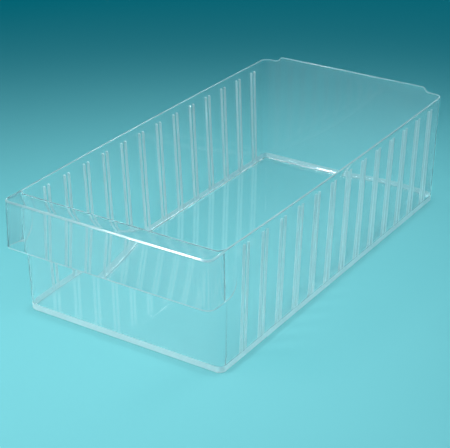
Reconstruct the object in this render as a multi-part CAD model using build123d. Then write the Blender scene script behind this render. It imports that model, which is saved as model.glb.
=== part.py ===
"""Clear storage drawer: an open tub with divider guides and a hooded front pull.

Millimetres.  +Z is up, +Y runs from the pull to the back wall and +X is to the right
of someone facing the pull.  The origin is at the bottom centre of the whole drawer.

The real drawer is a single moulding.  It is divided here at its working members: a
floor, four walls, four corner posts, the pull's shelf, apron, corners and cheeks, and
the pairs of ribs that guide a divider.  Neighbours meet face to face.
"""

import os

from build123d import *

# Tub
floor_length = 400.5        # foot of the tub, outside, front to back
floor_width = 204.2         # foot of the tub, outside, side to side
side_height = 114.6         # table to the side rims and to the top of the pull
back_height = 119.6         # table to the raised middle of the back wall
wall = 1.8                  # thickness of all four walls and the corner posts
floor_thickness = 2.5
wall_lean = 2.9             # how far every wall leans out at the side rims' height
foot_corner_radius = 6.5    # plan radius of the corner posts at the table
back_step_inset = 5.6       # corner post's axis to the foot of the back wall's step
back_step_run = 8.6         # width of the S-shaped step up to the raised middle

# Divider guides: pairs of upright ribs with a slot between them
guide_pairs = 13            # pairs on each side wall
guide_front_offset = 34.3   # front of the foot to the first slot's middle
guide_back_offset = 24.8    # back of the foot to the last slot's middle
guide_slot = 4.5            # clear width between the two ribs of a pair
guide_rib = 1.5             # thickness of one rib
guide_depth = 2.0           # how far a rib stands out from the wall
guide_drop = 7.3            # side rim down to the top of the ribs
guide_lead_in = 1.0         # chamfer on the top inner corner of a rib

# Pull: a shelf at rim height with an apron hanging from its front
pull_wall = 1.8             # thickness of the shelf, apron, corners and cheeks
pull_reach = 18.1           # front wall's rim to the apron's face, at the top
pull_drop = 44.8            # depth of the apron
pull_flare = 1.4            # how far the apron and cheeks splay out at the bottom
pull_proud = 0.25           # how far a cheek stands outside the side rim, at the top
pull_corner_radius = 7.0    # plan radius of the pull's front corners, at the top
cheek_reach = 16.5          # front of the foot back to a cheek's rear edge
cheek_radius = 13.0         # rounding of a cheek's lower rear corner

# Places worked out from those sizes
back_overhang = wall_lean * back_height / side_height
front_overhang = wall_lean + pull_reach + pull_flare
foot_front = (front_overhang - floor_length - back_overhang) / 2
foot_back = foot_front + floor_length
post_x = floor_width / 2 - foot_corner_radius
post_front = foot_front + foot_corner_radius
post_back = foot_back - foot_corner_radius
apron_top = foot_front - wall_lean - pull_reach
pull_half = floor_width / 2 + wall_lean + pull_proud
pull_post_x = pull_half - pull_corner_radius
pull_post_y = apron_top + pull_corner_radius
pull_bottom = side_height - pull_drop
guide_pitch = (floor_length - guide_front_offset - guide_back_offset) / (guide_pairs - 1)
ROOM = 2 * (front_overhang + foot_corner_radius)  # reach of a cutting block


def lean(z):
    """How far the tub's outer faces stand outside its foot at height z."""
    return wall_lean * z / side_height


def side_x(z):
    """Outer face of the right side wall at height z."""
    return floor_width / 2 + lean(z)


def front_y(z):
    """Outer face of the front wall at height z."""
    return foot_front - lean(z)


def back_y(z):
    """Outer face of the back wall at height z."""
    return foot_back + lean(z)


def splay(z):
    """How far the pull's outer faces stand outside their top edge at height z."""
    return pull_flare * (side_height - z) / pull_drop


def across(points, half_width):
    """Prism of (y, z) points, centred on the drawer's middle plane."""
    outline = Polyline(*[(-half_width, y, z) for y, z in points], close=True)
    return extrude(make_face(outline), 2 * half_width, dir=(1, 0, 0))


def along(points, y_start, y_end):
    """Prism of (x, z) points that runs from y_start to y_end."""
    outline = Polyline(*[(x, y_start, z) for x, z in points], close=True)
    return extrude(make_face(outline), y_end - y_start, dir=(0, 1, 0))


def leaning(face, thickness, low, high):
    """Four corners of an upright strip behind a leaning face, for across or along."""
    return [
        (face(low), low),
        (face(high), high),
        (face(high) + thickness, high),
        (face(low) + thickness, low),
    ]


def quadrant(x, y, x_sign, y_sign, low, high):
    """Cutting block: the quarter of space outside the axis at x, y."""
    centre = (x + x_sign * ROOM / 2, y + y_sign * ROOM / 2, (low + high) / 2)
    return Pos(*centre) * Box(ROOM, ROOM, high - low)


def cone(x, y, radius, low, high):
    """Tapering round body about an upright axis, with its radius given by height."""
    return Pos(x, y, (low + high) / 2) * Cone(radius(low), radius(high), high - low)


def post_body(y, low, high, inset=0):
    """Outside of a right-hand corner post, or its inside with the wall as inset."""
    return cone(post_x, y, lambda z: foot_corner_radius + lean(z) - inset, low, high)


def corner_post(y, y_sign):
    """Right-hand corner post, from the floor to the side rim."""
    span = (floor_thickness, side_height)
    tube = post_body(y, *span) - post_body(y, *span, inset=wall)
    return tube & quadrant(post_x, y, 1, y_sign, *span)


def floor_panel():
    """Floor over the whole foot of the tub."""
    top = floor_thickness
    middle = [(front_y(0), 0), (front_y(top), top), (back_y(top), top), (back_y(0), 0)]
    flank = [(side_x(0), 0), (side_x(top), top), (-side_x(top), top), (-side_x(0), 0)]
    panel = across(middle, post_x) + along(flank, post_front, post_back)
    for y, y_sign in ((post_front, -1), (post_back, 1)):
        corner = post_body(y, 0, top) & quadrant(post_x, y, 1, y_sign, 0, top)
        panel = panel + corner + mirror(corner, Plane.YZ)
    return panel


def side_wall():
    """Right side wall between its corner posts."""
    strip = leaning(side_x, -wall, floor_thickness, side_height)
    return along(strip, post_front, post_back)


def front_wall():
    """Front wall between its corner posts, behind the pull."""
    return across(leaning(front_y, wall, floor_thickness, side_height), post_x)


def back_outline():
    """Back wall's elevation: level ends and a middle raised by an S-shaped step."""
    foot = post_x - back_step_inset
    top = foot - back_step_run
    middle = Vector((foot + top) / 2, 0, (side_height + back_height) / 2)
    edges = []
    for sign in (1, -1):
        corner = Vector(sign * post_x, 0, side_height)
        low = Vector(sign * foot, 0, side_height)
        turn = Vector(sign * middle.X, 0, middle.Z)
        high = Vector(sign * top, 0, back_height)
        lower_arc = TangentArc(low, turn, tangent=(-sign, 0, 0))
        upper_arc = TangentArc(turn, high, tangent=lower_arc % 1)
        upright = Line((sign * post_x, 0, floor_thickness), corner)
        edges += [upright, Line(corner, low), lower_arc, upper_arc]
    edges.append(Line((-top, 0, back_height), (top, 0, back_height)))
    edges.append(Line((-post_x, 0, floor_thickness), (post_x, 0, floor_thickness)))
    return make_face(edges)


def back_wall():
    """Back wall between its corner posts, with its raised middle."""
    slab = across(leaning(back_y, -wall, floor_thickness, back_height), post_x)
    elevation = Pos(0, foot_back - ROOM / 2, 0) * back_outline()
    return slab & extrude(elevation, ROOM, dir=(0, 1, 0))


def divider_guide(slot_y):
    """Pair of ribs on the right side wall, either side of the slot at slot_y."""
    top = side_height - guide_drop

    def inner_x(z):
        return side_x(z) - wall

    profile = [
        (inner_x(floor_thickness), floor_thickness),
        (inner_x(top), top),
        (inner_x(top) - guide_depth + guide_lead_in, top),
        (inner_x(top - guide_lead_in) - guide_depth, top - guide_lead_in),
        (inner_x(floor_thickness) - guide_depth, floor_thickness),
    ]
    near = slot_y - guide_slot / 2
    far = slot_y + guide_slot / 2
    ribs = [along(profile, near - guide_rib, near), along(profile, far, far + guide_rib)]
    return Compound([rib.solid() for rib in ribs])


def pull_apron():
    """Front plate of the pull."""
    strip = leaning(lambda z: apron_top - splay(z), pull_wall, pull_bottom, side_height)
    return across(strip, pull_post_x)


def pull_cone(low, high, inset=0):
    """Outside of the pull's right-hand corner, or its inside with the wall as inset."""

    def radius(z):
        return pull_corner_radius + splay(z) - inset

    return cone(pull_post_x, pull_post_y, radius, low, high)


def pull_corner():
    """Rounded right-hand corner between the apron and the cheek."""
    span = (pull_bottom, side_height)
    tube = pull_cone(*span) - pull_cone(*span, inset=pull_wall)
    return tube & quadrant(pull_post_x, pull_post_y, 1, -1, *span)


def pull_cheek():
    """Right-hand end plate of the pull, which laps back over the side wall."""

    def outer_x(z):
        return pull_half + splay(z)

    span = (pull_bottom, side_height)
    back = foot_front + cheek_reach
    plate = along(leaning(outer_x, -pull_wall, *span), pull_post_y, post_front)
    plate = plate - post_body(post_front, *span)
    lap = along(
        [(side_x(z), z) for z in span] + [(outer_x(z), z) for z in reversed(span)],
        post_front,
        back,
    )
    outline = Polyline(
        (0, back, pull_bottom + cheek_radius),
        (0, back, side_height),
        (0, pull_post_y, side_height),
        (0, pull_post_y, pull_bottom),
        (0, back - cheek_radius, pull_bottom),
    )
    rounding = TangentArc(outline @ 1, outline @ 0, tangent=(0, 1, 0))
    elevation = extrude(make_face([outline, rounding]), ROOM + pull_half, dir=(1, 0, 0))
    return (plate + lap) & elevation


def pull_shelf():
    """Level top of the pull, between the apron, the cheeks and the front wall."""
    low = side_height - pull_wall
    span = (low, side_height)

    def apron_inner(z):
        return apron_top + pull_wall - splay(z)

    def cheek_inner(z):
        return pull_half - pull_wall + splay(z)

    middle = [(apron_inner(z), z) for z in span] + [(post_front, z) for z in reversed(span)]
    ends = [(cheek_inner(z), z) for z in span] + [(-cheek_inner(z), z) for z in reversed(span)]
    shelf = across(middle, pull_post_x) + along(ends, pull_post_y, post_front)
    corner = pull_cone(*span, inset=pull_wall)
    corner = corner & quadrant(pull_post_x, pull_post_y, 1, -1, *span)
    tub = [(front_y(z), z) for z in span] + [(post_front, z) for z in reversed(span)]
    post = post_body(post_front, *span)
    shelf = shelf + corner + mirror(corner, Plane.YZ)
    return shelf - across(tub, post_x) - post - mirror(post, Plane.YZ)


def make_nodes():
    """Every node of the drawer, by name."""
    nodes = {
        "floor_panel": floor_panel(),
        "front_wall": front_wall(),
        "back_wall": back_wall(),
        "pull_shelf": pull_shelf(),
        "pull_apron": pull_apron(),
    }
    pairs = {
        "{}_side_wall": side_wall(),
        "front_{}_corner": corner_post(post_front, -1),
        "back_{}_corner": corner_post(post_back, 1),
        "pull_{}_corner": pull_corner(),
        "pull_{}_cheek": pull_cheek(),
    }
    for index in range(guide_pairs):
        slot_y = foot_front + guide_front_offset + index * guide_pitch
        pairs["{}_divider_guide_" + f"{index + 1:02d}"] = divider_guide(slot_y)
    for name, shape in pairs.items():
        nodes[name.format("right")] = shape
        nodes[name.format("left")] = mirror(shape, Plane.YZ)
    return nodes


os.makedirs("parts", exist_ok=True)
for node_name, node_shape in make_nodes().items():
    export_step(node_shape, f"parts/{node_name}.step")
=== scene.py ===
"""Clear moulded storage drawer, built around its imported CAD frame.

Lengths are in millimetres until a mesh is made.  The tub is a wall section swept round a
rectangular core: a section point is (inset, height), where inset is measured inwards from
the tub's outer face.  The pull is swept round the same core, and its points are measured
inwards from its own outline.  Neighbouring pieces meet face to face, and a ray of light
passes straight through the faces where they meet, as it does in one moulding.
"""

import math

import bmesh
import bpy
from mathutils import Euler, Matrix, Vector


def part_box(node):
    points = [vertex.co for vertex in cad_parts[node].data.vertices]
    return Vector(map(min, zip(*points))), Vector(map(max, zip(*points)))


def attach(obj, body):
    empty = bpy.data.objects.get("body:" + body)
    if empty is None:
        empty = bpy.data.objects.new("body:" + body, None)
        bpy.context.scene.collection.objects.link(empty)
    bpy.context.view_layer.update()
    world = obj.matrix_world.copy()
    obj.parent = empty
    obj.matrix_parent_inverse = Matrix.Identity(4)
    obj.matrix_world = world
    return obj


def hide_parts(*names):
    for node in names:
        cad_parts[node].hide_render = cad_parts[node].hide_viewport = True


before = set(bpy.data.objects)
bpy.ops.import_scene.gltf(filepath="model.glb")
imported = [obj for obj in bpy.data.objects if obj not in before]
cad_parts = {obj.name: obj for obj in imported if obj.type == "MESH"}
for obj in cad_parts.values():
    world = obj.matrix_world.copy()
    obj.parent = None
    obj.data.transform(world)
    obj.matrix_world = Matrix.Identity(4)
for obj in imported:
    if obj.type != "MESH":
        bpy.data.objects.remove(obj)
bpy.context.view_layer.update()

MM = 0.001

# Small sizes of the moulding, which a node's box doesn't give
RIM_RADIUS = 0.8
COVE_RADIUS = 4.0
FOOT_RADIUS = 1.1
RIB_WIDTH = 1.5
RIB_FILLET = 0.5
RIB_TIP_RADIUS = 0.5
RIB_TOP_RUN = 1.3
PULL_EDGE_RADIUS = 1.5
PULL_RIM_RADIUS = 0.8
PULL_FILLET = 0.9
RIM_BOW = 2.0                      # how far each side rim bows out at mid-length
CHEEK_RADIUS = 13.0                # rounding of a cheek's lower rear corner
CHEEK_EDGE_THICKNESS = 0.45        # share of the cheek's thickness left at its rear edge
CHEEK_EDGE_RUNS = (0.2, 0.45)      # distances from the rear edge where its rounding is drawn
CONTACT_ANGLE = math.radians(36)   # how far round a corner post its cheek reaches
BACK_STEP_INSET = 5.6              # back corner post's axis to the foot of the back wall's step
BACK_STEP_RUN = 8.6                # width of the step

# Steps of the rounded stretches.  A front post and its cheek both step by 6 degrees.
FRONT_POST_STEPS = 15
CONTACT_STEPS = 6
BACK_POST_STEPS = 10
FLOOR_POST_STEPS = 8
FLOOR_SIDE_STEPS = 16
FOOT_STEPS = 5
BACK_STEP_STEPS = 12
RIM_STEPS = 6
COVE_STEPS = 6
RIB_FILLET_STEPS = 3
RIB_TIP_STEPS = 4
RIB_TOP_STEPS = 6
RIB_PAINTED_HIGHLIGHT_ROWS = 4                 # rows at a rib's top that take the whitish foot slot, a painted highlight on its rounded top
CHEEK_STEPS = 7
PLATE_STEPS = 7
PULL_POST_STEPS = 10
PULL_EDGE_STEPS = 6
BEAD_STEPS = 4                     # rounding of the pull's lower edge, and its fillet

TINY = 1e-6
MERGE_DISTANCE = 0.002
SIDE_MARGIN = 1.0                  # points up to this far inside the core's side edge bow too
SHARP_ANGLE = math.radians(40)     # edges that bend more than this are shaded sharp

CLEAR, EDGE, JOINT, RIB, FOOT = range(5)   # material slots of every piece


def node_box(node):
    """Lowest and highest corner of a CAD node in millimetres."""
    low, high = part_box(node)
    return low / MM, high / MM


# Sizes read from the frame
floor_high = node_box("floor_panel")[1]
side_low, side_high = node_box("right_side_wall")
post_low, post_high = node_box("front_right_corner")
apron_low, apron_high = node_box("pull_apron")
shelf_low, shelf_high = node_box("pull_shelf")
pull_post_low, pull_post_high = node_box("pull_right_corner")
rib_low, rib_high = node_box("right_divider_guide_01")

floor_top = floor_high.z
side_top = side_high.z
back_top = node_box("back_wall")[1].z
core_x = post_low.x
core_front = post_high.y
core_back = side_high.y
wall_lean = (side_high.x - floor_high.x) / (1 - floor_top / side_top)
core_radius = side_high.x - wall_lean - core_x
wall = floor_high.x - side_low.x
rib_top = rib_high.z
rib_depth = side_low.x - rib_low.x
pull_wall = shelf_high.z - shelf_low.z
pull_bottom = apron_low.z
shelf_under = shelf_low.z
apron_top = apron_high.y - pull_wall
pull_flare = apron_top - apron_low.y
pull_post = Vector((pull_post_low.x, pull_post_high.y))
pull_half = pull_post_high.x - pull_flare
pull_radius = pull_half - pull_post.x
cheek_back = node_box("pull_right_cheek")[1].y
rim_start = side_top - RIM_RADIUS
cove_start = floor_top + COVE_RADIUS


def lean(z):
    """How far the tub's outer face stands outside its foot at height z."""
    return wall_lean * z / side_top


def smooth(t):
    """Smooth step from 0 to 1."""
    t = min(max(t, 0.0), 1.0)
    return t * t * (3 - 2 * t)


def spread(start, end, count):
    """Evenly spaced values from start to end, with count steps."""
    return [start + (end - start) * i / count for i in range(count + 1)]


def quarter(count):
    """Angles from 0 to a right angle, with count steps."""
    return spread(0, math.pi / 2, count)


def bowed(point):
    """Moves a point outwards with the bow of the side wall that it belongs to."""
    middle = (core_front + core_back) / 2
    share = (point.y - middle) / (core_back - middle)
    if abs(share) < 1 and abs(point.x) > core_x - SIDE_MARGIN:
        bow = RIM_BOW * (1 - share * share) * point.z / side_top
        point.x += math.copysign(bow, point.x)
    return point


class Station:
    """A place on the core with the direction that the section faces there."""

    def __init__(self, x, y, angle):
        self.core = Vector((x, y, 0))
        self.out = Vector((math.cos(angle), math.sin(angle), 0))
        self.angle = angle

    def at(self, distance, z):
        """Point at a distance out from the core and a height."""
        return self.core + self.out * distance + Vector((0, 0, z))

    def tub(self, inset, z):
        """Point at an inset from the tub's outer face."""
        return self.at(core_radius + lean(z) - inset, z)


def front_stations(steps):
    return [Station(x, core_front, -math.pi / 2) for x in spread(-core_x, core_x, steps)]


def side_station(y):
    return Station(core_x, y, 0)


def post_stations(y, start, end, steps):
    return [Station(core_x, y, a) for a in spread(start, end, steps)]


# Building of meshes

def finish_mesh(name, verts, faces, tags):
    """A clean closed mesh object from points in millimetres, faces and material slots."""
    mesh = bmesh.new()
    made = [mesh.verts.new(bowed(Vector(v)) * MM) for v in verts]
    for face, tag in zip(faces, tags, strict=True):
        mesh.faces.new([made[i] for i in face]).material_index = tag
    bmesh.ops.remove_doubles(mesh, verts=mesh.verts, dist=MERGE_DISTANCE * MM)
    bmesh.ops.dissolve_degenerate(mesh, edges=mesh.edges, dist=MERGE_DISTANCE * MM)
    bmesh.ops.recalc_face_normals(mesh, faces=mesh.faces)
    for face in mesh.faces:
        face.smooth = True
    for edge in mesh.edges:
        sides = edge.link_faces
        if len(sides) != 2:
            raise ValueError(f"{name} is not closed")
        joint = len({f.material_index == JOINT for f in sides}) > 1
        edge.smooth = not joint and edge.calc_face_angle() < SHARP_ANGLE
    data = bpy.data.meshes.new(name)
    mesh.to_mesh(data)
    mesh.free()
    piece = bpy.data.objects.new(name, data)
    bpy.context.scene.collection.objects.link(piece)
    return piece


def loft(name, rings, tag, cap_tags=(JOINT, JOINT), flip=False, first_cap=None):
    """Solid swept through rings of points.

    tag(i, k) gives the slot of the face between rings i and i + 1 that starts at point k, or
    None where there is no face.  first_cap lists the points of the first cap, if not all.
    """
    if flip:
        rings = [[Vector((-p.x, p.y, p.z)) for p in ring] for ring in rings]
    size = len(rings[0])
    verts = [p for ring in rings for p in ring]
    faces, tags = [], []
    for i in range(len(rings) - 1):
        for k in range(size):
            if tag(i, k) is None:
                continue
            a, b = i * size + k, i * size + (k + 1) % size
            faces.append((a, b, b + size, a + size))
            tags.append(tag(i, k))
    last = (len(rings) - 1) * size
    faces += [tuple(first_cap or range(size)), tuple(range(last, last + size))]
    tags += list(cap_tags)
    return finish_mesh(name, verts, faces, tags)


# Tub

def wall_section(top, stretch=1.0, lap_z=pull_bottom):
    """Section of a tub wall: (inset, z, slot of the face that starts here).

    lap_z is the height where a cheek of the pull starts to cover the wall's outer face.
    """
    start = top - RIM_RADIUS * stretch
    section = [(0, cove_start, CLEAR), (0, lap_z, CLEAR), (0, shelf_under, CLEAR)]
    # The rim's rounding takes the whitish edge slot, a painted highlight line with some frosting
    for a in quarter(RIM_STEPS):
        rise = RIM_RADIUS * stretch * math.sin(a)
        section.append((RIM_RADIUS * (1 - math.cos(a)), start + rise, EDGE))
    for a in reversed(quarter(RIM_STEPS)):
        rise = RIM_RADIUS * stretch * math.sin(a)
        section.append((wall - RIM_RADIUS * (1 - math.cos(a)), start + rise, EDGE))
    section[-1] = (wall, start, CLEAR)
    section.append((wall, rib_top, CLEAR))
    for a in quarter(COVE_STEPS):
        rise = COVE_RADIUS * (1 - math.sin(a))
        section.append((wall + COVE_RADIUS * (1 - math.cos(a)), floor_top + rise, CLEAR))
    section[-1] = (*section[-1][:2], JOINT)
    section.append((0, floor_top, FOOT))
    return section


LAP_ROW = 1                          # section index of the cheek's bottom
SHELF_ROW = 2                        # section index of the shelf's underside
RIM_ROW = 3
CREST_ROW = RIM_ROW + RIM_STEPS      # section index of the rim's outer crest
RIB_TOP_ROW = RIM_ROW + 2 * (RIM_STEPS + 1)
COVE_ROW = RIB_TOP_ROW + 1
# Steps of the cove that a rib stands on, up to where the cove is as deep as the rib
RIB_FOOT_STEPS = round(COVE_STEPS * math.acos(1 - rib_depth / COVE_RADIUS) / (math.pi / 2))


def ring_of(station, section):
    return [station.tub(inset, z) for inset, z, _ in section]


def cheek_bottom(y):
    """Height of the cheek's lower edge at y."""
    back = y - (cheek_back - CHEEK_RADIUS)
    if back <= 0:
        return pull_bottom
    return pull_bottom + CHEEK_RADIUS - math.sqrt(max(CHEEK_RADIUS**2 - back * back, 0))


def guide_places():
    """Name, slot's middle and rib offsets of each divider guide on the right."""
    for name in sorted(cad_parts):
        if name.startswith("right_divider_guide"):
            low, high = node_box(name)
            middle = (low.y + high.y) / 2
            offset = (high.y - low.y - RIB_WIDTH) / 2
            yield name, middle, offset


rib_reach = RIB_WIDTH / 2 + RIB_FILLET


def lap_places():
    """Places along a side wall where its cheek's curved lower edge is drawn."""
    corner = cheek_back - CHEEK_RADIUS
    first = math.asin((core_front - corner) / CHEEK_RADIUS)
    return [corner + CHEEK_RADIUS * math.sin(a) for a in spread(first, math.pi / 2, CHEEK_STEPS)]


def side_wall(side):
    footprints = []
    for _, middle, offset in guide_places():
        for rib in (middle - offset, middle + offset):
            footprints.append((rib - rib_reach, rib + rib_reach))
    places = sorted({*lap_places(), *(y for pair in footprints for y in pair), core_back})
    starts = {start for start, _ in footprints}
    rings = []
    for y in places:
        section = wall_section(side_top, lap_z=cheek_bottom(min(y, cheek_back)))
        rings.append(ring_of(side_station(y), section))

    def tag(i, k):
        if i < CHEEK_STEPS and LAP_ROW <= k < RIM_ROW:
            return JOINT
        if places[i] in starts and RIB_TOP_ROW <= k < COVE_ROW + RIB_FOOT_STEPS:
            return JOINT
        return section[k][2]

    return loft(f"{side}_side_wall_clear", rings, tag, flip=side == "left")


def post(name, y, start, end, steps, contact, side):
    stations = post_stations(y, start, end, steps)
    section = wall_section(side_top)
    if contact:
        rings = []
        for s in stations:
            lap_y = s.tub(0, pull_bottom).y
            rings.append(ring_of(s, wall_section(side_top, lap_z=cheek_bottom(lap_y))))
    else:
        rings = [ring_of(s, section) for s in stations]

    def tag(i, k):
        if contact and SHELF_ROW <= k < CREST_ROW:
            return JOINT
        if contact and k == LAP_ROW and abs(stations[i].angle) < CONTACT_ANGLE - TINY:
            return JOINT
        return section[k][2]

    return loft(f"{name}_clear", rings, tag, flip=side == "left")


def front_wall():
    section = wall_section(side_top)

    def tag(i, k):
        return JOINT if SHELF_ROW <= k < CREST_ROW else section[k][2]

    return loft("front_wall_clear", [ring_of(s, section) for s in front_stations(2)], tag)


def back_rise(x):
    """Height of the back rim at x, and the stretch of its rounding on a slope."""
    foot = core_x - BACK_STEP_INSET
    run, rise = BACK_STEP_RUN, back_top - side_top
    radius = (run * run + rise * rise) / (4 * rise)
    t = min(max(foot - abs(x), 0), run)
    near = min(t, run - t)
    dip = radius - math.sqrt(radius * radius - near * near)
    height = dip if t <= run / 2 else rise - dip
    slope = near / math.sqrt(radius * radius - near * near)
    return side_top + height, math.sqrt(1 + slope * slope)


def back_wall():
    foot = core_x - BACK_STEP_INSET
    half = [core_x] + [foot - t for t in spread(0, BACK_STEP_RUN, BACK_STEP_STEPS)]
    places = sorted([-x for x in half] + half, reverse=True)
    rings = []
    for x in places:
        top, stretch = back_rise(x)
        rings.append(ring_of(Station(x, core_back, math.pi / 2), wall_section(top, stretch)))
    section = wall_section(side_top)
    return loft("back_wall_clear", rings, lambda i, k: section[k][2])


def floor_panel():
    """Floor with its rounded foot edge; its top carries the walls."""
    turn = math.pi / 2
    path = post_stations(core_front, -turn, 0, FLOOR_POST_STEPS)
    path += [side_station(y) for y in spread(core_front, core_back, FLOOR_SIDE_STEPS)[1:-1]]
    path += post_stations(core_back, 0, turn, FLOOR_POST_STEPS)
    path += [Station(-s.core.x, s.core.y, math.pi - s.angle) for s in reversed(path)]
    toe = wall + COVE_RADIUS
    section = [(toe, floor_top), (0, floor_top)]
    for a in quarter(FOOT_STEPS):
        section.append((FOOT_RADIUS * (1 - math.cos(a)), FOOT_RADIUS * (1 - math.sin(a))))
    section.append((toe, 0))
    # The foot's rounding takes the whitish foot slot, a painted bright band standing in for light carried
    # through the plastic
    slots = [JOINT] + [FOOT] * (FOOT_STEPS + 1) + [CLEAR]
    rings = [[s.tub(inset, z) for inset, z in section] for s in path]
    size, count = len(section), len(path)
    verts = [p for ring in rings for p in ring]
    faces, tags = [], []
    for i in range(count):
        n = (i + 1) % count
        for k in range(size - 1):
            faces.append((i * size + k, i * size + k + 1, n * size + k + 1, n * size + k))
            tags.append(slots[k])
    faces.append(tuple(i * size for i in range(count)))
    faces.append(tuple(i * size + size - 1 for i in range(count)))
    tags += [CLEAR, CLEAR]
    return finish_mesh("floor_panel_clear", verts, faces, tags)


# Divider guides

def rib_profile():
    """One rib's section from the wall out: (offset along the wall, depth)."""
    half = RIB_WIDTH / 2
    points = []
    for a in quarter(RIB_FILLET_STEPS):
        points.append((-half - RIB_FILLET * (1 - math.sin(a)), RIB_FILLET * (1 - math.cos(a))))
    for a in quarter(RIB_TIP_STEPS):
        depth = rib_depth - RIB_TIP_RADIUS * (1 - math.sin(a))
        points.append((-half + RIB_TIP_RADIUS * (1 - math.cos(a)), depth))
    return points + [(-y, depth) for y, depth in reversed(points)]


def divider_guide(name, middle, offset, side):
    """A pair of ribs, each in rows of points from its rounded top down onto the cove."""
    profile = rib_profile()
    rows = []                          # (z, cove's inset there, share of the rib's depth)
    for a in quarter(RIB_TOP_STEPS):
        rows.append((rib_top - RIB_TOP_RUN * (1 - math.cos(a)), 0.0, math.sin(a)))
    rows.append(((rib_top + cove_start) / 2, 0.0, 1.0))
    for a in quarter(COVE_STEPS)[: RIB_FOOT_STEPS + 1]:
        rows.append((floor_top + COVE_RADIUS * (1 - math.sin(a)), COVE_RADIUS * (1 - math.cos(a)), 1.0))
    size = len(profile)
    verts, faces, tags = [], [], []
    for rib in (middle - offset, middle + offset):
        base = len(verts)
        for z, cove, height in rows:
            for y, depth in profile:
                share = depth / rib_depth
                inset = wall + cove + (height * rib_depth - cove) * share
                verts.append(side_station(rib + y).tub(inset, z))
        last = len(rows) - 1
        for r in range(last):
            for k in range(size - 1):
                a = base + r * size + k
                faces.append((a, a + 1, a + 1 + size, a + size))
                # a rib's top rows take the whitish foot slot as a painted highlight, and the rest take the
                # rib slot's painted pale lines
                tags.append(FOOT if r < RIB_PAINTED_HIGHLIGHT_ROWS else RIB)
        for r in range(1, last - 1):
            a, b = base + r * size, base + (r + 1) * size
            faces.append((a, b, b + size - 1, a + size - 1))
            tags.append(JOINT)
        top_row = [base + k for k in range(size)]
        faces.append((*top_row, base + 2 * size - 1, base + size))
        foot_row = [base + last * size + k for k in range(size)]
        faces.append((*foot_row, base + last * size - 1, base + (last - 1) * size))
        tags += [JOINT, JOINT]
    if side == "left":
        verts = [Vector((-v.x, v.y, v.z)) for v in verts]
    return finish_mesh(name, verts, faces, tags)


# Pull

cheek_wedge = (pull_half + pull_flare - core_x - core_radius - lean(pull_bottom)) / (rim_start - pull_bottom)
SIDE_ANGLE = math.atan2(core_front - pull_post.y, pull_half - core_x)


def splay(z):
    """How far the pull's outer faces stand outside their top edge."""
    return pull_flare * (side_top - z) / (side_top - pull_bottom)


def lap_weight(angle):
    """1 where the pull's outline follows the tub's side, 0 on its corner and front."""
    return smooth(1 - angle / SIDE_ANGLE)


def lap_width(z):
    """Half-width of the cheek where it laps the side wall."""
    return core_x + core_radius + lean(z) + cheek_wedge * max(rim_start - z, 0)


def pull_reach(station, offset, z):
    """Distance from the core to the pull's outline, moved in by offset."""
    angle = -station.angle
    weight = lap_weight(angle)
    half = (pull_half + splay(z)) * (1 - weight) + lap_width(z) * weight
    if angle < TINY:
        return half - offset - core_x
    out = Vector((math.cos(angle), -math.sin(angle)))
    core = Vector((station.core.x, core_front))
    front = core_front - (apron_top - splay(z) + offset)
    if abs(station.core.x) < core_x - TINY:
        return front
    distance = (half - offset - core_x) / out.x if out.x > TINY else math.inf
    if core_front - distance * math.sin(angle) >= pull_post.y:
        return distance
    distance = front / math.sin(angle)
    if core_x + distance * out.x <= pull_post.x:
        return distance
    to_post = pull_post - core
    radius = pull_radius + splay(z) - offset
    near = to_post.dot(out)
    return near + math.sqrt(max(radius**2 - (to_post.length_squared - near * near), 0))


def pull_stations():
    """Right half of the pull's stations, from the cheek's rear edge to the front wall."""
    lap = lap_places() + [cheek_back - run for run in CHEEK_EDGE_RUNS]
    stations = [side_station(y) for y in sorted(lap, reverse=True)]
    angles = spread(0, CONTACT_ANGLE, CONTACT_STEPS)[1:]
    plate = spread(CONTACT_ANGLE, SIDE_ANGLE, PLATE_STEPS)[1:]
    corner = []
    for a in quarter(PULL_POST_STEPS)[1:]:
        point = pull_post + pull_radius * Vector((math.cos(a), -math.sin(a)))
        corner.append(math.atan2(core_front - point.y, point.x - core_x))
    stations += [Station(core_x, core_front, -a) for a in angles + plate + corner]
    stations.append(Station(core_x, core_front, -math.pi / 2))
    return stations


def edge_radius(station):
    """Radius of the pull's top outer edge."""
    weight = lap_weight(-station.angle)
    return PULL_EDGE_RADIUS * (1 - weight) + RIM_RADIUS * weight


def in_contact(station):
    """Whether the pull lies against the tub at a station."""
    return -station.angle < CONTACT_ANGLE + TINY and station.core.x > core_x - TINY


def tub_rim_point(station, a):
    """Point of the tub's outer rim rounding at angle a."""
    return station.tub(RIM_RADIUS * (1 - math.cos(a)), rim_start + RIM_RADIUS * math.sin(a))


def rear_thinning(station):
    """Share of the cheek's thickness that its rounded rear edge leaves."""
    rear = cheek_back - station.core.y
    if station.angle < -TINY or rear >= PULL_RIM_RADIUS:
        return 1.0
    rounding = math.sqrt(max(1 - (1 - rear / PULL_RIM_RADIUS) ** 2, 0))
    return CHEEK_EDGE_THICKNESS + (1 - CHEEK_EDGE_THICKNESS) * rounding


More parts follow.
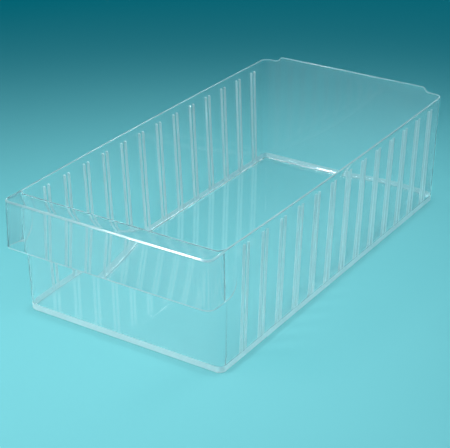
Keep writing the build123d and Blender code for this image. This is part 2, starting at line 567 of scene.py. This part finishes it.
def pull_section(station):
    """Closed section of the pull: points, and the slot of the face after each."""
    contact = in_contact(station)
    y = station.tub(0, pull_bottom).y if station.angle < -TINY else station.core.y
    bottom = cheek_bottom(y) if station.core.x > core_x - TINY else pull_bottom
    radius = edge_radius(station)
    thin = rear_thinning(station)

    def outer(offset, z):
        reach = pull_reach(station, offset, z)
        base = core_radius + lean(z)
        return station.at(base + (reach - base) * thin, z)

    # Top: from the tub's crest out to the rounded edge
    crest = tub_rim_point(station, math.pi / 2)
    points = [crest]
    if station.angle > -TINY:
        points.append(crest)
        points += [tub_rim_point(station, a) for a in reversed(quarter(PULL_EDGE_STEPS))]
    else:
        crest_reach = (crest - station.at(0, side_top)).length
        shelf_reach = pull_reach(station, pull_wall + PULL_FILLET, side_top)
        points.append(station.at(max(shelf_reach, crest_reach), side_top))
        for a in reversed(quarter(PULL_EDGE_STEPS)):
            z = side_top - radius * (1 - math.sin(a))
            points.append(outer(radius * (1 - math.cos(a)), z))
    # The pull's rounded top edge and lower bead take the whitish edge slot, a painted highlight line with
    # some frosting
    tags = [CLEAR, CLEAR] + [EDGE] * PULL_EDGE_STEPS + [CLEAR]
    # Lower edge, rounded outside and inside
    for a in quarter(BEAD_STEPS):
        z = bottom + PULL_RIM_RADIUS * (1 - math.sin(a))
        points.append(outer(PULL_RIM_RADIUS * (1 - math.cos(a)), z))
    for a in reversed(quarter(BEAD_STEPS)):
        z = bottom + PULL_RIM_RADIUS * (1 - math.sin(a))
        if contact:
            points.append(station.tub(0, z))
        else:
            offset = pull_wall - PULL_RIM_RADIUS * (1 - math.cos(a))
            points.append(station.at(pull_reach(station, offset, z), z))
    tags += [EDGE] * (2 * BEAD_STEPS + 1) + [CLEAR]
    # Inner face, fillet and underside of the shelf
    for a in quarter(BEAD_STEPS):
        z = shelf_under - PULL_FILLET * (1 - math.sin(a))
        if contact:
            points.append(station.tub(0, z))
        else:
            offset = pull_wall + PULL_FILLET * (1 - math.cos(a))
            reach = max(pull_reach(station, offset, z), core_radius + lean(z))
            points.append(station.at(reach, z))
    tags += [CLEAR] * (BEAD_STEPS + 1)
    # Where the pull joins the tub, up to the crest
    points.append(station.tub(0, shelf_under))
    tags.append(JOINT)
    for a in quarter(RIM_STEPS)[:-1]:
        points.append(tub_rim_point(station, a))
        tags.append(JOINT)
    return points, tags


def pull_piece(name, stations, flip=False, rear=None):
    """One piece of the pull.  rear is the slot of a cheek's free rear edge.

    Where a cheek laps the side wall, it has no face over the tub's rim rounding.
    """
    rings, tag_rows = [], []
    for s in stations:
        points, tags = pull_section(s)
        rings.append(points)
        tag_rows.append(tags)
    size = len(rings[0])
    top_end, crest_start = 2 + PULL_EDGE_STEPS, size - RIM_STEPS
    inner = top_end + 2 * (BEAD_STEPS + 1)   # first point of the inner face

    def tag(i, k):
        if stations[i + 1].angle > -TINY and not top_end <= k < crest_start:
            return None
        touching = in_contact(stations[i]) and in_contact(stations[i + 1])
        if touching and k >= inner - 1:
            return JOINT
        return tag_rows[i][k]

    if rear is None:
        return loft(name, rings, tag, flip=flip)
    return loft(name, rings, tag, (rear, JOINT), flip, range(top_end, crest_start))


def pull_pieces():
    """The pull's pieces, each with the CAD nodes that it stands for."""
    stations = pull_stations()
    split = next(i for i, s in enumerate(stations) if -s.angle >= SIDE_ANGLE - TINY)
    made = []
    for side in ("left", "right"):
        flip = side == "left"
        cheek = pull_piece(f"pull_{side}_cheek_clear", stations[: split + 1], flip, EDGE)
        made.append((cheek, [f"pull_{side}_cheek"]))
        corner = pull_piece(f"pull_{side}_corner_clear", stations[split:], flip)
        made.append((corner, [f"pull_{side}_corner"]))
    middle = pull_piece("pull_shelf_and_apron_clear", front_stations(4))
    made.append((middle, ["pull_shelf", "pull_apron"]))
    return made


# Materials

PLASTIC_IOR = 1.5
PLASTIC_TINTS = ((1, 1, 1), (0.985, 0.995, 0.995))
# whitish colour of the painted highlight and painted reflection veil, with some frosting on the edges
FROST_AND_PAINTED_SHEEN_COLOUR = (0.90, 0.985, 0.985, 1)
SHADOW_RED = 0.99                  # red in a shadow, as a share of its green and blue
WAVE_SCALE = 14.0
WAVE_HEIGHT = 0.0002
HAZE_SCALE = 60.0
HAZE_ROUGHNESS = (0.9, 1.1)        # least and most roughness that the haze gives, as shares
TABLE_TINTS = ((0.20, 0.59, 0.62), (0.22, 0.61, 0.64))
COLOUR_A, COLOUR_B, COLOUR_RESULT = 6, 7, 2   # colour sockets of a Mix node


def node(tree, kind, **values):
    """New shader node with some of its inputs set."""
    made = tree.nodes.new(kind)
    for key, value in values.items():
        made.inputs[key.replace("_", " ")].default_value = value
    return made


def mix_colours(tree, share, first, second):
    """Colour socket that runs from first to second as share runs from 0 to 1."""
    mix = tree.nodes.new("ShaderNodeMix")
    mix.data_type = "RGBA"
    mix.inputs[COLOUR_A].default_value = (*first, 1)
    mix.inputs[COLOUR_B].default_value = (*second, 1)
    tree.links.new(share, mix.inputs[0])
    return mix.outputs[COLOUR_RESULT]


def mix_shaders(tree, share, first, second):
    """Shader socket that mixes two others.  share is a number or a socket."""
    mix = tree.nodes.new("ShaderNodeMixShader")
    if isinstance(share, float):
        mix.inputs[0].default_value = share
    else:
        tree.links.new(share, mix.inputs[0])
    tree.links.new(first, mix.inputs[1])
    tree.links.new(second, mix.inputs[2])
    return mix.outputs[0]


def clear_plastic(name, frost_and_painted_sheen_share, roughness, passed, wave=0.0):
    """Clear polystyrene with faint flow waves and haze.

    The number after the name is the whitish share of what the surface shows: a painted highlight and a
    painted reflection veil, with some frosting on the moulded edges. passed is the share of light that its
    shadow lets through, and wave is the strength of the flow waves.
    """
    material = bpy.data.materials.new(name)
    material.use_nodes = True
    tree = material.node_tree
    tree.nodes.clear()
    link = tree.links.new
    place = tree.nodes.new("ShaderNodeTexCoord")
    waves = node(tree, "ShaderNodeTexNoise", Scale=WAVE_SCALE, Detail=2.0, Roughness=0.5)
    link(place.outputs["Object"], waves.inputs["Vector"])
    bump = node(tree, "ShaderNodeBump", Strength=wave, Distance=WAVE_HEIGHT)
    link(waves.outputs["Fac"], bump.inputs["Height"])
    haze = node(tree, "ShaderNodeTexNoise", Scale=HAZE_SCALE, Detail=3.0, Roughness=0.6)
    link(place.outputs["Object"], haze.inputs["Vector"])
    smoothest, roughest = (roughness * share for share in HAZE_ROUGHNESS)
    rough = node(tree, "ShaderNodeMapRange", To_Min=smoothest, To_Max=roughest)
    link(haze.outputs["Fac"], rough.inputs["Value"])
    plastic = node(tree, "ShaderNodeBsdfPrincipled", IOR=PLASTIC_IOR, Transmission_Weight=1.0)
    link(mix_colours(tree, haze.outputs["Fac"], *PLASTIC_TINTS), plastic.inputs["Base Color"])
    link(rough.outputs["Result"], plastic.inputs["Roughness"])
    link(bump.outputs["Normal"], plastic.inputs["Normal"])
    front = node(tree, "ShaderNodeBsdfDiffuse", Color=FROST_AND_PAINTED_SHEEN_COLOUR)
    behind = node(tree, "ShaderNodeBsdfTranslucent", Color=FROST_AND_PAINTED_SHEEN_COLOUR)
    # Whitish diffuse and translucent mix: painted highlight and painted reflection veil over the clear
    # plastic, with some frosting on the edges
    frost_and_painted_sheen = mix_shaders(tree, 0.5, front.outputs[0], behind.outputs[0])
    solid = mix_shaders(tree, frost_and_painted_sheen_share, plastic.outputs[0], frost_and_painted_sheen)
    # Shadow rays and diffuse rays go straight through, so the table is lit through the tub
    path = tree.nodes.new("ShaderNodeLightPath")
    either = tree.nodes.new("ShaderNodeMath")
    either.operation = "MAXIMUM"
    link(path.outputs["Is Shadow Ray"], either.inputs[0])
    link(path.outputs["Is Diffuse Ray"], either.inputs[1])
    shade = (passed * SHADOW_RED, passed, passed, 1)
    passing = node(tree, "ShaderNodeBsdfTransparent", Color=shade)
    out = tree.nodes.new("ShaderNodeOutputMaterial")
    seen = mix_shaders(tree, either.outputs[0], solid, passing.outputs[0])
    link(seen, out.inputs["Surface"])
    return material


def joint_material():
    """Faces where two pieces of the one moulding meet: light goes straight through."""
    material = bpy.data.materials.new("moulded_through")
    material.use_nodes = True
    tree = material.node_tree
    tree.nodes.clear()
    passing = node(tree, "ShaderNodeBsdfTransparent", Color=(1, 1, 1, 1))
    out = tree.nodes.new("ShaderNodeOutputMaterial")
    tree.links.new(passing.outputs[0], out.inputs["Surface"])
    return material


def table_material():
    material = bpy.data.materials.new("pale_table")
    material.use_nodes = True
    tree = material.node_tree
    plain = tree.nodes["Principled BSDF"]
    plain.inputs["Roughness"].default_value = 0.8
    plain.inputs["Specular IOR Level"].default_value = 0.1
    place = tree.nodes.new("ShaderNodeTexCoord")
    grain = node(tree, "ShaderNodeTexNoise", Scale=3.0, Detail=2.0)
    tree.links.new(place.outputs["Object"], grain.inputs["Vector"])
    tint = mix_colours(tree, grain.outputs["Fac"], *TABLE_TINTS)
    tree.links.new(tint, plain.inputs["Base Color"])
    return material


# Putting it together

materials = [
    # Whitish shares: a painted reflection veil on clear faces, painted highlight lines on rims and pull
    # edges, painted pale lines on ribs, and a painted highlight and painted piped light on the foot and rib
    # tops
    clear_plastic("clear_polystyrene", 0.05, 0.03, 0.99, 0.1),
    clear_plastic("clear_polystyrene_edge", 0.45, 0.07, 0.85),
    joint_material(),
    clear_plastic("clear_polystyrene_rib", 0.6, 0.2, 0.8),
    clear_plastic("clear_polystyrene_foot", 0.8, 0.25, 0.6),
]


def place_piece(piece, nodes):
    for material in materials:
        piece.data.materials.append(material)
    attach(piece, "root")
    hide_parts(*nodes)


place_piece(floor_panel(), ["floor_panel"])
place_piece(front_wall(), ["front_wall"])
place_piece(back_wall(), ["back_wall"])
for hand in ("left", "right"):
    place_piece(side_wall(hand), [f"{hand}_side_wall"])
    front_post = post(f"front_{hand}_corner", core_front, -math.pi / 2, 0, FRONT_POST_STEPS, True, hand)
    place_piece(front_post, [f"front_{hand}_corner"])
    back_post = post(f"back_{hand}_corner", core_back, 0, math.pi / 2, BACK_POST_STEPS, False, hand)
    place_piece(back_post, [f"back_{hand}_corner"])
    for guide, slot_middle, rib_offset in guide_places():
        own = guide.replace("right", hand)
        place_piece(divider_guide(f"{own}_clear", slot_middle, rib_offset, hand), [own])
for made_piece, stood_for in pull_pieces():
    place_piece(made_piece, stood_for)

# Table, light and camera

scene = bpy.context.scene

TABLE_DROP = 0.1                   # gap that keeps the table clear of the tub's underside
table_mesh = bmesh.new()
bmesh.ops.create_grid(table_mesh, x_segments=8, y_segments=8, size=6.0)
table_data = bpy.data.meshes.new("table")
table_mesh.to_mesh(table_data)
table_mesh.free()
table = bpy.data.objects.new("table", table_data)
table.location.z = -TABLE_DROP * MM
scene.collection.objects.link(table)
table.data.materials.append(table_material())


def softbox(name, place, target, size, power, spread_angle):
    """Lamp at place, in metres, that shines at target.  spread_angle is in degrees."""
    light = bpy.data.lights.new(name, "AREA")
    light.shape = "RECTANGLE"
    light.spread = math.radians(spread_angle)
    light.size, light.size_y = size
    light.energy = power
    lamp = bpy.data.objects.new(name, light)
    lamp.location = place
    lamp.rotation_euler = (Vector(target) - Vector(place)).to_track_quat("-Z", "Y").to_euler()
    lamp.visible_camera = False
    scene.collection.objects.link(lamp)
    return lamp


softbox("key_softbox", (-1.08, -1.21, 1.76), (-0.15, -0.42, 0), (0.5, 0.4), 2.75, 45)
rim = softbox("rim_softbox", (0.45, 1.25, 1.2), (0, 0.04, 0.05), (0.4, 0.25), 0.55, 30)
rim.visible_glossy = False
glint = softbox("glint_softbox", (-1.0, -1.13, 1.64), (0.0, -0.26, 0.1), (0.5, 0.4), 2.2, 20)
glint.visible_diffuse = False
strip = softbox("strip_softbox", (0.5, 1.5, 1.33), (0, 0, 0.1), (0.5, 0.3), 4.0, 180)
strip.visible_diffuse = False
softbox("fill_softbox", (0.8, -0.8, 0.9), (0.4, -0.25, 0), (0.4, 0.4), 0.72, 60)

world = bpy.data.worlds.new("studio")
world.use_nodes = True
background = world.node_tree.nodes["Background"]
background.inputs["Color"].default_value = (0.0, 0.2, 0.26, 1)
background.inputs["Strength"].default_value = 1.0
scene.world = world

BOUNCES = 64                       # a ray can cross all the clear walls in its way
scene.cycles.max_bounces = BOUNCES
scene.cycles.transmission_bounces = BOUNCES
scene.cycles.glossy_bounces = BOUNCES
scene.cycles.transparent_max_bounces = BOUNCES

CAMERA_PLACE = (0.62136, -0.98277, 0.60485)
CAMERA_AZIMUTH, CAMERA_ELEVATION, CAMERA_ROLL = 33.06, 26.25, -0.27
CAMERA_LENS = 109.3
CAMERA_SENSOR = 36.0
camera_data = bpy.data.cameras.new("camera")
camera_data.lens = CAMERA_LENS
camera_data.sensor_width = CAMERA_SENSOR
camera = bpy.data.objects.new("camera", camera_data)
turn = Euler((math.radians(90 - CAMERA_ELEVATION), 0, math.radians(CAMERA_AZIMUTH))).to_matrix()
turn = turn @ Matrix.Rotation(math.radians(CAMERA_ROLL), 3, "Z")
camera.matrix_world = Matrix.Translation(CAMERA_PLACE) @ turn.to_4x4()
scene.collection.objects.link(camera)
scene.camera = camera
scene.view_settings.view_transform = "Standard"
